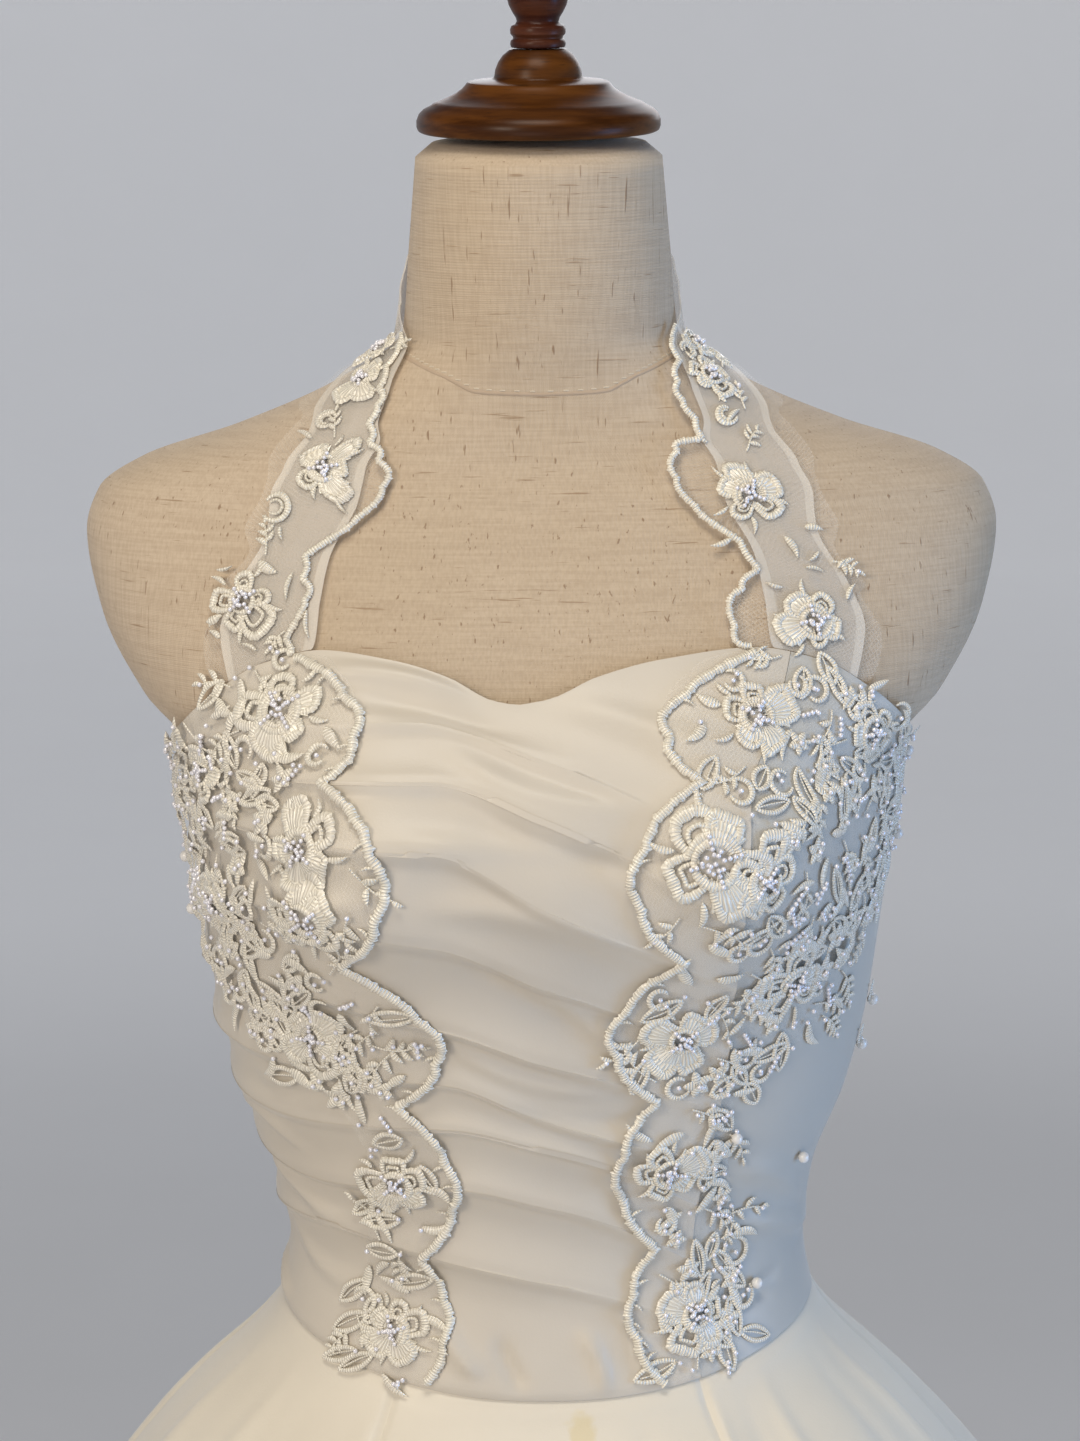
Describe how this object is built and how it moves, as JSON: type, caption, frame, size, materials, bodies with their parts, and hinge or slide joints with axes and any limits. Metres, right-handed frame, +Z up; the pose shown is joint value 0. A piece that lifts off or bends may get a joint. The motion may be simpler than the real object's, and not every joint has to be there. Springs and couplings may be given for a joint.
{
  "type": "halter wedding dress on a limbless dress form with a wooden stand",
  "caption": "Floor-length halter wedding dress with a slantwise pleated bodice and beaded lace, on a linen dress form with a turned wooden cap and stand.",
  "frame": {"origin": "on the floor, at the middle of the stand's round base", "axes": "+Z up, along the pole; the front of the dress faces -Y; +X is the viewer's right when facing the front"},
  "size_m": [1.0044, 0.9431, 1.5662],
  "materials": {
    "satin": "ivory satin with a soft sheen",
    "lace": "shiny ivory thread embroidered on fine net",
    "organza": "sheer ivory organza",
    "linen": "matt beige linen with darker slubs",
    "wood": "dark walnut stain under satin varnish"
  },
  "bodies": {
    "root": {"form_torso": "linen", "form_neck_cap": "wood", "form_finial": "wood", "stand_base": "wood", "stand_pole": "wood", "bodice_drape": "satin", "bodice_side_right": "satin", "bodice_back_right": "satin", "bodice_back_left": "satin", "bodice_placket": "satin", "button_1": "satin", "button_2": "satin", "button_3": "satin", "button_4": "satin", "button_5": "satin", "button_6": "satin", "button_7": "satin", "button_8": "satin", "lace_left": "lace", "lace_right": "lace", "strap_net_left": "organza", "strap_net_right": "organza", "strap_lace_left": "lace", "strap_lace_right": "lace", "neck_band": "organza", "skirt_front": "satin", "skirt_side_front_right": "satin", "skirt_side_back_right": "satin", "skirt_back_right": "satin", "skirt_back_left": "satin", "skirt_side_back_left": "satin", "skirt_side_front_left": "satin"}
  },
  "joints": []
}
